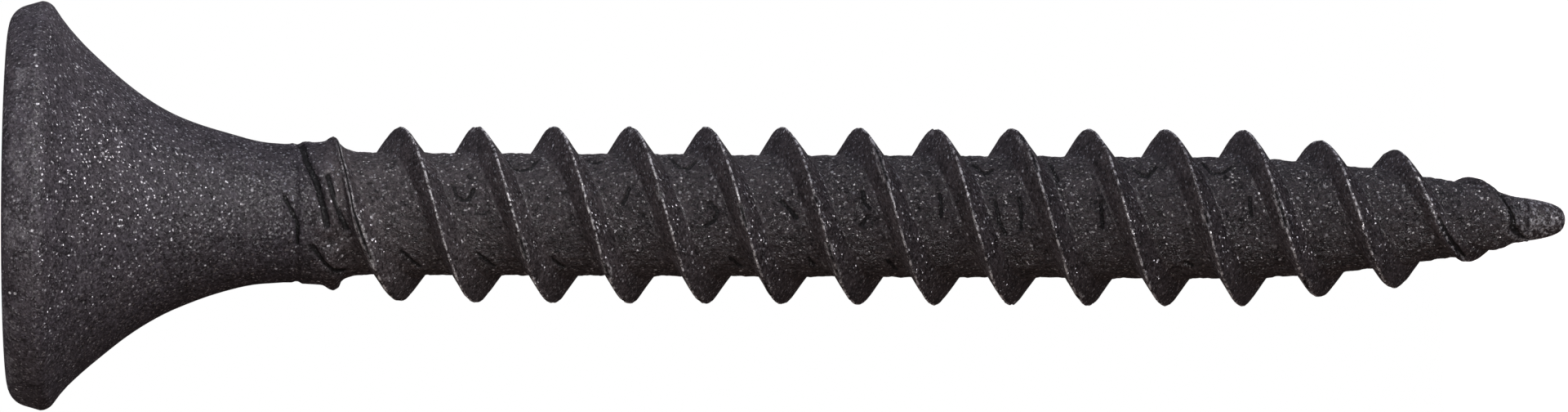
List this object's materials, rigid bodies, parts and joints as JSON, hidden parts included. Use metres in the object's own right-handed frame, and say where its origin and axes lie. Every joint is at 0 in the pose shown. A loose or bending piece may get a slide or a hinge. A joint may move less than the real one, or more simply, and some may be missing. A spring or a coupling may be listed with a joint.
{
  "type": "wood screw",
  "caption": "Bugle-head wood screw with a fine right-hand thread, a cross recess and a tapered point, black phosphated, for fixing boards to wood or thin metal.",
  "frame": {"origin": "centre of the flat top of the head, on the screw's axis", "axes": "+Z along the axis, out of the top of the head, so the point is at -Z; +X and +Y along the wings of the cross recess"},
  "size_m": [0.0078, 0.0078, 0.03],
  "materials": {
    "black_phosphated_steel": "matte black phosphate with a fine sparkling grain, worn bright along the thread crests and the rim"
  },
  "bodies": {
    "root": {"wood_screw": "black_phosphated_steel"}
  },
  "joints": []
}
